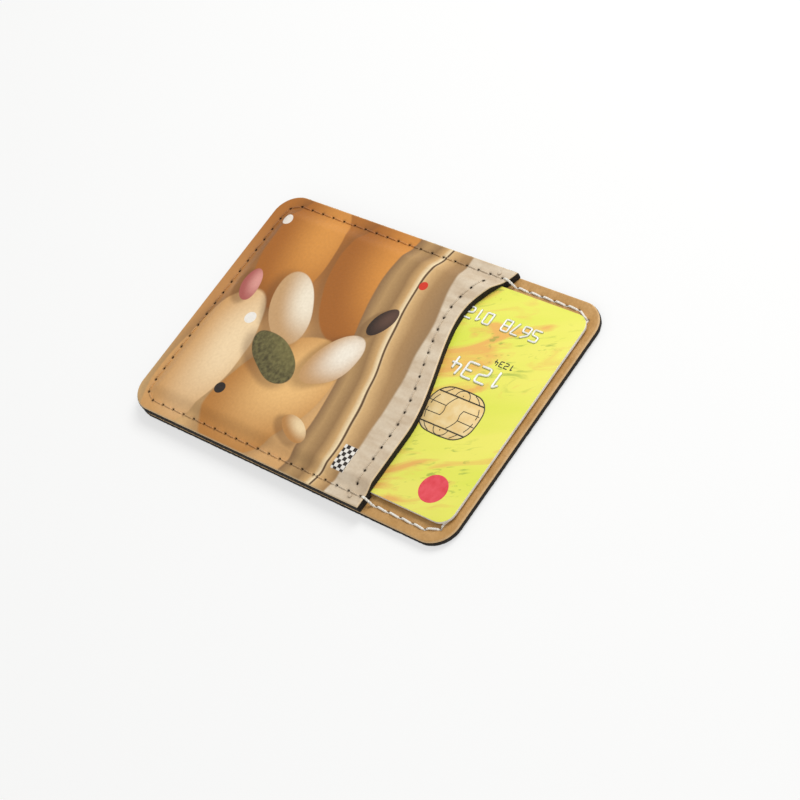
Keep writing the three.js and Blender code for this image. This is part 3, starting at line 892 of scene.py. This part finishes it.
# %% One stitch
RINGS = 25
TWISTS = 2.5
deselect()
bpy.ops.mesh.primitive_cylinder_add(vertices=12, radius=1, depth=1, end_fill_type="NGON")
stitch = bpy.context.object
stitch.name = "stitch"
select_edges(stitch, lambda a, b: abs(a.z - b.z) > 0.5)
bpy.ops.mesh.subdivide(number_cuts=RINGS)
bpy.ops.object.mode_set(mode="OBJECT")
for v in stitch.data.vertices:
    even = v.co.z + 0.5
    crowd = 0.5 - 0.5 * math.cos(math.pi * even)
    angle = math.atan2(v.co.y, v.co.x)
    ply = 1 + 0.16 * math.cos(3 * angle)
    angle += 2 * math.pi * TWISTS * crowd
    v.co = (ply * math.cos(angle), ply * math.sin(angle), share(even, crowd, 0.75))
print("stitch of", len(stitch.data.vertices), "vertices")

# %% Laying the stitches
DIP_DEPTH, DIP_WIDTH = 0.9, 0.48


def lay_stitch(start, end, height, radius, up, slant):
    """A copy of the stitch from hole to hole. height gives the surface, up is 1 above and -1 below."""
    copy = stitch.copy()
    copy.data = stitch.data.copy()
    bpy.context.scene.collection.objects.link(copy)
    length = math.dist(start, end)
    way = ((end[0] - start[0]) / length, (end[1] - start[1]) / length)
    across = Vector((-way[1], way[0], 0))

    def centre(s):
        side = slant * (1 - 2 * s) * min(1, 4 * s, 4 * (1 - s))
        x = share(start[0], end[0], s) - way[1] * side
        y = share(start[1], end[1], s) + way[0] * side
        dip = bell(s * length, DIP_WIDTH) + bell((1 - s) * length, DIP_WIDTH)
        return Vector((x, y, height(x, y) + up * (radius * 0.9 - DIP_DEPTH * dip)))

    for v in copy.data.vertices:
        s = v.co.z
        ahead = (centre(min(1, s + 0.01)) - centre(max(0, s - 0.01))).normalized()
        rise = across.cross(ahead) * -1
        v.co = (centre(s) + across * v.co.x * radius + rise * v.co.y * radius) * MM
    return copy


def sew(name, holes, height, up, thread_of, node):
    """Sews a row of holes. thread_of gives each stitch's radius, slant and material."""
    parts = []
    for start, end in zip(holes, holes[1:]):
        radius, slant, material = thread_of(start, end)
        part = lay_stitch(start, end, height, radius, up, slant)
        part.data.materials.append(material)
        parts.append(part)
    deselect()
    for part in parts:
        part.select_set(True)
    bpy.context.view_layer.objects.active = parts[0]
    bpy.ops.object.join()
    row = bpy.context.object
    row.name = row.data.name = name
    activate(row)
    face_outwards()
    finish_piece(row, nodes=[node], smooth_deg=60)


# %% [markdown]
# Over an ear the thread leaves the front panel's lip and runs down, taut, to the strip. The mouth
# has a row of its own, and the bobbin's thread runs dark along the underside.

# %% Three rows of stitches


def thread_height(x, y):
    if on_front(x, y):
        return front_z(x, y) - 0.16
    beyond = y - mouth_y(x)
    return max(FLOOR_Z - 0.08, FRONT_TOP - 0.05 - 1.15 * beyond)


def panel_thread(start, end):
    """Printed over on the front panel, bare and a little thicker on the strip."""
    if on_front(*start) and on_front(*end):
        return 0.2, 0.1, inked_thread
    return 0.25, 0.16, white_thread


sew("seam_thread_top", seam_holes, thread_height, 1, panel_thread,
    "seam_needle_thread")
sew("mouth_thread_top", mouth_holes, lambda x, y: front_z(x, y) - 0.15, 1,
    lambda start, end: (0.18, 0.08, inked_thread), "mouth_needle_thread")
sew("seam_thread_under", seam_holes, lambda x, y: PAD_TOP, -1,
    lambda start, end: (0.19, 0.1, dark_thread), "seam_bobbin_thread")
bpy.data.objects.remove(stitch)

# %% [markdown]
# The adhesive pad is a die-cut sheet of foam tape. A plane gets round corners, is extruded to its
# thickness, and its cut edges are softened with a bevel.

# %% Adhesive pad


def rounded_plate(name, low, high, corner, z0, z1, rim, segments=8):
    """Plate from a plane primitive: round its corners, extrude it, bevel its rim."""
    deselect()
    bpy.ops.mesh.primitive_plane_add(size=1)
    piece = bpy.context.object
    piece.name = name
    piece.scale = ((high[0] - low[0]) * MM, (high[1] - low[1]) * MM, 1)
    piece.location = point((low[0] + high[0]) / 2, (low[1] + high[1]) / 2, z0)
    bpy.ops.object.transform_apply(location=True, rotation=True, scale=True)
    bpy.ops.object.mode_set(mode="EDIT")
    bpy.ops.mesh.select_all(action="SELECT")
    bpy.ops.mesh.bevel(offset=corner * MM, segments=segments, affect="VERTICES", clamp_overlap=False)
    bpy.ops.mesh.select_all(action="SELECT")
    bpy.ops.mesh.extrude_region_move(TRANSFORM_OT_translate={"value": (0, 0, (z1 - z0) * MM)})
    face_outwards()
    select_edges(piece, lambda a, b: abs(a.z - b.z) < 1e-7)
    bpy.ops.mesh.bevel(offset=rim * MM, segments=3, affect="EDGES")
    bpy.ops.object.mode_set(mode="OBJECT")
    return piece


pad = rounded_plate("adhesive_foam_pad", (-27.1, -41.35), (27.1, 41.9), 3.0, 0, PAD_TOP, 0.08)
finish_piece(pad, [foam_tape], ["adhesive_pad"])

# %% [markdown]
# The card is laminated PVC: a white core with a printed and varnished face. Its print is a
# marbling of yellow-green with orange veins and a few green wisps, drawn with stretched noise.
# The veins are near 2.6 mm wide and the wisps near 1.2 mm, in patches of 5.6 mm.

# %% Card print
VEIN_SCALE, WISP_SCALE, PATCH_SCALE = 190.0, 420.0, 90.0
card_print, tree, shader, place = new_material("varnished_pvc_print", 0.28,
                                               **{"Coat Weight": 0.3, "Coat Roughness": 0.12})
flow = add_node(tree, "Mapping", {
    "Vector": place, "Rotation": (0, 0, math.radians(118)), "Scale": (3.6, 1, 1)},
    0, vector_type="TEXTURE")
clouds = speckle(tree, flow, 5.0, 3.0, 0.35, 0.65)
tone = add_node(tree, "Mix", {0: clouds, 6: linear("#DDE64E"), 7: linear("#EFEA68")}, 2,
                data_type="RGBA")
# Orange veins lie thickest beside the mouth and fade out towards the open end
along_card = add_node(tree, "SeparateXYZ", {0: place}, "Y")
toward_mouth = add_node(tree, "MapRange", {0: along_card, 1: 0.040, 2: 0.020, 3: 0.0, 4: 0.1}, 0)
veins = add_node(tree, "TexNoise", {
    "Vector": flow, "Scale": VEIN_SCALE, "Detail": 5.0, "Distortion": 1.2}, "Fac")
veins = add_node(tree, "Math", {0: veins, 1: toward_mouth}, 0, operation="ADD")
veins = add_node(tree, "MapRange", {0: veins, 1: 0.58, 2: 0.74}, 0)
tone = add_node(tree, "Mix", {0: veins, 6: tone, 7: linear("#EDB75E")}, 2, data_type="RGBA")
# Green wisps come in patches
patches = add_node(tree, "TexNoise", {"Vector": place, "Scale": PATCH_SCALE, "Detail": 1.0}, "Fac")
patches = add_node(tree, "MapRange", {0: patches, 1: 0.5, 2: 0.62, 4: 0.6}, 0)
wisps = add_node(tree, "TexNoise", {
    "Vector": flow, "Scale": WISP_SCALE, "Detail": 6.0, "Distortion": 2.2}, "Fac")
wisps = add_node(tree, "MapRange", {0: wisps, 1: 0.57, 2: 0.66, 4: patches}, 0)
tone = add_node(tree, "Mix", {0: wisps, 6: tone, 7: linear("#7FA03E")}, 2, data_type="RGBA")
tree.links.new(tone, shader.inputs["Base Color"])
print(card_print.name)

# %% [markdown]
# The card's other finishes are plain, so each has two close shades in fine blotches: the white
# PVC core at the sides, white foil that is hot-stamped on the raised digits, a darker olive at their
# feet that is painted shade on the card's embossed slope, offset inks in black and red, thin gold
# plate and the dark resin under it.

# %% Plain finishes of the card
card_core = speckled_material("white_pvc_core", 0.5, 0.8, "#E4E2DA", "#F4F3EE")
tipping_foil = speckled_material("white_tipping_foil", 0.3, 0.5, "#EDEDE9", "#FFFFFF")
# Darker olive than the card's print: painted shade at the feet of the raised digits
embossed_foot_shade = speckled_material("embossed_slope_painted_shade", 0.35, 0.5, "#9C9F4C", "#B9BC60")
black_ink = speckled_material("black_offset_ink", 0.45, 0.3, "#23241C", "#3A3B2E")
red_ink = speckled_material("red_offset_ink", 0.4, 0.6, "#DD3F49", "#EA5560")
gold_plate = speckled_material("gold_plated_contact", 0.38, 1.0, "#EFCB85", "#F9DFA6", Metallic=0.2)
dark_resin = speckled_material("dark_contact_resin", 0.6, 0.3, "#2B2A22", "#403D30")
print("card materials made")

# %% [markdown]
# The card's body is a plate with its rim rounded by 0.08 mm. The sides keep the white core, the
# face takes the print. A second plate cuts the recess for the contact module.

# %% Card body
CARD_LOW, CARD_HIGH, CARD_CORNER = (-27.24, -41.17), (26.74, 44.43), 3.18
CHIP_LOW, CHIP_HIGH, CHIP_CORNER = (-1.7, 22.38), (9.6, 36.18), 4.4
CHIP_THICKNESS = 0.25
CHIP_BASE = CARD_TOP - CHIP_THICKNESS
card = rounded_plate("card_body_printed", CARD_LOW, CARD_HIGH, CARD_CORNER, CARD_BASE, CARD_TOP, 0.08)
recess = rounded_plate("recess", (-1.73, 22.35), (9.63, 36.21), 4.43, CHIP_BASE,
                       CARD_TOP + CHIP_THICKNESS, 0.01)
cut_away(card, recess, "recess")
card.data.materials.append(card_core)
card.data.materials.append(card_print)
for face in card.data.polygons:
    face.material_index = 1 if face.center.z > (CARD_TOP - 0.03) * MM else 0
finish_piece(card, nodes=["card_body"])

# %% [markdown]
# The contact module is gold plate on dark resin. Thin gaps divide the gold into contacts. Each gap
# is a fine raised line of resin, made as a curve with a round bevel and turned into a mesh.

# %% Contact plate
plate = rounded_plate("contact_plate_gold", CHIP_LOW, CHIP_HIGH, CHIP_CORNER, CHIP_BASE, CARD_TOP, 0.03)
finish_piece(plate, [gold_plate], ["card_contact_plate"])


def round_curve(name, radius):
    """A curve without lines yet, which will get a round section of that radius."""
    data = bpy.data.curves.new(name, "CURVE")
    data.dimensions = "3D"
    data.bevel_depth = radius * MM
    data.bevel_resolution = 2
    data.resolution_u = 6
    data.use_fill_caps = True
    piece = bpy.data.objects.new(name, data)
    bpy.context.scene.collection.objects.link(piece)
    return piece


def as_mesh(piece):
    activate(piece)
    bpy.ops.object.convert(target="MESH")
    bpy.context.object.data.materials.clear()
    return bpy.context.object


def wire(name, lines, radius, z, closed=False):
    """Fine round lines of resin through points, as one mesh."""
    piece = round_curve(name, radius)
    for line in lines:
        spline = piece.data.splines.new("BEZIER")
        spline.bezier_points.add(len(line) - 1)
        spline.use_cyclic_u = closed
        for knot, (x, y) in zip(spline.bezier_points, line):
            knot.co = point(x, y, z)
            knot.handle_left_type = knot.handle_right_type = "AUTO" if len(line) > 2 else "VECTOR"
    finish_piece(as_mesh(piece), [dark_resin])


def with_mirror(lines):
    """The lines and their mirror images at the middle of the plate."""
    turned = [[(CHIP_LOW[0] + CHIP_HIGH[0] - x, CHIP_LOW[1] + CHIP_HIGH[1] - y) for x, y in line]
              for line in lines]
    return lines + turned


fine_lines = [
    [(0.3, 28.3), (1.3, 27.6), (2.85, 27.0), (4.25, 27.25), (5.3, 27.0)],
    [(2.85, 27.0), (2.75, 22.6)],
    [(5.3, 27.0), (5.35, 22.9)],
    [(0.1, 27.4), (-0.9, 27.7), (-1.55, 28.5), (-1.6, 29.9), (-1.0, 30.7), (0.1, 31.2)],
    [(0.2, 24.7), (-1.4, 26.2)],
    [(-1.5, 31.9), (-0.9, 33.0), (0.15, 34.1)],
    [(1.0, 24.05), (2.2, 23.5), (3.5, 23.3)],
    [(4.5, 23.3), (5.7, 23.45), (6.9, 24.0)],
]
bold_lines = [[(0.1, 23.3), (0.1, 35.3)], [(-0.47, 29.2), (-0.47, 29.32)]]
wire("contact_plate_gaps", with_mirror(fine_lines), 0.09, CARD_TOP)
wire("contact_plate_long_gaps", with_mirror(bold_lines), 0.15, CARD_TOP)
wire("contact_plate_border", [rounded_loop(CHIP_LOW, CHIP_HIGH, CHIP_CORNER, 5)], 0.14, CARD_TOP - 0.02,
     closed=True)

# %% [markdown]
# Plain digits stand on the card. The large ones are embossed and tipped with white foil, so each
# stroke is a rounded ridge. The small ones are printed, a hair above the face. They read along -Y,
# with their heads towards +X. The digits are generic.

# %% Digits on the card
STROKES = {
    "0": [[(0, 0), (1, 0), (1, 1.6), (0, 1.6), (0, 0)]],
    "1": [[(0.15, 1.25), (0.55, 1.6), (0.55, 0)]],
    "2": [[(0, 1.6), (1, 1.6), (1, 0.85), (0, 0.7), (0, 0), (1, 0)]],
    "3": [[(0, 1.6), (1, 1.6), (1, 0), (0, 0)], [(0.35, 0.82), (1, 0.82)]],
    "4": [[(0.15, 1.6), (0, 0.6), (1, 0.6)], [(0.75, 1.1), (0.75, 0)]],
    "5": [[(1, 1.6), (0, 1.6), (0, 0.85), (1, 0.75), (1, 0), (0, 0)]],
    "6": [[(0.8, 1.6), (0, 1.1), (0, 0), (1, 0), (1, 0.8), (0, 0.8)]],
    "7": [[(0, 1.6), (1, 1.6), (0.4, 0)]],
    "8": [[(0, 0), (1, 0), (1, 1.6), (0, 1.6), (0, 0)], [(0, 0.82), (1, 0.82)]],
}


def eased(line, cut=0.2):
    """Turns each corner of a stroke into a short curve."""
    made = [line[0]]
    for before, corner, after in zip(line, line[1:], line[2:]):
        back, ahead = cut / max(math.dist(before, corner), cut), cut / max(math.dist(corner, after), cut)
        entry, leave = between(corner, before, back), between(corner, after, ahead)
        middle = tuple(corner[c] * 0.5 + entry[c] * 0.25 + leave[c] * 0.25 for c in (0, 1))
        made += [entry, middle, leave]
    return made + [line[-1]]


def domed(line, radius):
    """Ends a stroke in two small domes: each knot is x, y and its share of the radius."""
    tips = []
    for end, inner in ((line[0], line[1]), (line[-1], line[-2])):
        away = tuple((end[c] - inner[c]) / math.dist(end, inner) for c in (0, 1))
        tips.append([(end[0] + away[0] * radius * far, end[1] + away[1] * radius * far, thick)
                     for far, thick in ((0.45, 0.88), (0.8, 0.6), (0.98, 0.2))])
    return tips[0][::-1] + [(x, y, 1.0) for x, y in line] + tips[1]


def digits(name, text, first, size, pitch, radius, z, material, flat=1.0):
    """A row of stroke digits. first is the lower corner of the first digit, size its width."""
    curve = round_curve(name, radius)
    for k, digit in enumerate(text):
        for line in STROKES.get(digit, ()):
            path = [(first[0] + v * size, first[1] - k * pitch - u * size) for u, v in eased(line)]
            knots = domed(path, radius)
            spline = curve.data.splines.new("POLY")
            spline.points.add(len(knots) - 1)
            for knot, (x, y, thick) in zip(spline.points, knots):
                knot.co = (*point(x, y, 0), 1)
                knot.radius = thick
    piece = as_mesh(curve)
    piece.scale = (1, 1, flat)
    piece.location = point(0, 0, z)
    finish_piece(piece, [material])


FOOT = 0.12
for name, text, first, size, pitch, radius in (
    ("raised_number", "1234", (-8.3, 35.1), 2.4, 3.6, 0.25),
    ("raised_number_small", "5678 012", (-20.3, 36.3), 1.75, 2.54, 0.2),
):
    digits(name, text, first, size, pitch, radius, CARD_TOP + FOOT, tipping_foil)
    # A wider, flatter copy under each digit is the embossed slope, coloured darker as painted shade
    digits(name + "_foot_shade", text, first, size, pitch, radius + FOOT, CARD_TOP, embossed_foot_shade, 0.45)
digits("printed_number", "1234", (-10.9, 35.5), 0.8, 1.33, 0.13, CARD_TOP, black_ink, 0.2)

# %% Printed disc
DISC_RADIUS, INK_THICKNESS = 3.3, 0.03
deselect()
bpy.ops.mesh.primitive_cylinder_add(vertices=48, radius=DISC_RADIUS * MM, depth=INK_THICKNESS * MM,
                                    location=point(20.6, 36.6, CARD_TOP + 0.012))
disc = bpy.context.object
disc.name = "printed_disc"
bpy.ops.object.mode_set(mode="EDIT")
bpy.ops.mesh.select_all(action="SELECT")
bpy.ops.mesh.bevel(offset=0.01 * MM, segments=1, affect="EDGES")
bpy.ops.object.mode_set(mode="OBJECT")
finish_piece(disc, [red_ink])

# %% [markdown]
# The stage is a pale seamless floor, a large soft lamp above and a white world, at a level where
# colours render about as they are written.

# %% Floor and light
deselect()
bpy.ops.mesh.primitive_plane_add(size=4)
floor = bpy.context.object
floor.name = "floor"
FLOOR_LIFT = 0.6
floor_paint = bpy.data.materials.new("white_paper_sweep")
floor_paint.use_nodes = True
tree = floor_paint.node_tree
tree.nodes.clear()
paper = add_node(tree, "BsdfDiffuse", {"Color": linear("#F2F2F0")}, 0)
glow = add_node(tree, "Emission", {"Color": (1, 1, 1, 1), "Strength": 1.0}, 0)
seen = add_node(tree, "LightPath", output="Is Camera Ray")
lift = add_node(tree, "Math", {0: seen, 1: FLOOR_LIFT}, 0, operation="MULTIPLY")
mixed = add_node(tree, "MixShader", {0: lift, 1: paper, 2: glow}, 0)
add_node(tree, "OutputMaterial", {"Surface": mixed})
floor.data.materials.append(floor_paint)

WORLD_LIGHT = 0.45
world = bpy.data.worlds.new("studio")
bpy.context.scene.world = world
world.use_nodes = True
tree = world.node_tree
sky = tree.nodes["Background"]
sky.inputs["Color"].default_value = (1, 1, 1, 1)
seen = add_node(tree, "LightPath", output="Is Camera Ray")
level = add_node(tree, "Math", {0: seen, 1: 1.0 - WORLD_LIGHT, 2: WORLD_LIGHT}, 0,
                 operation="MULTIPLY_ADD")
tree.links.new(level, sky.inputs["Strength"])


def lamp(name, at, size, power):
    data = bpy.data.lights.new(name, "AREA")
    data.size = size
    data.energy = power
    made = bpy.data.objects.new(name, data)
    bpy.context.scene.collection.objects.link(made)
    made.location = at
    made.rotation_mode = "QUATERNION"
    made.rotation_quaternion = (-Vector(at)).to_track_quat("-Z", "Y")


lamp("key", (-0.4, 0.1, 0.5), 0.35, 3.0)
lamp("fill", (0.45, 0.35, 0.5), 0.6, 0.8)
bpy.context.scene.view_settings.view_transform = "Standard"
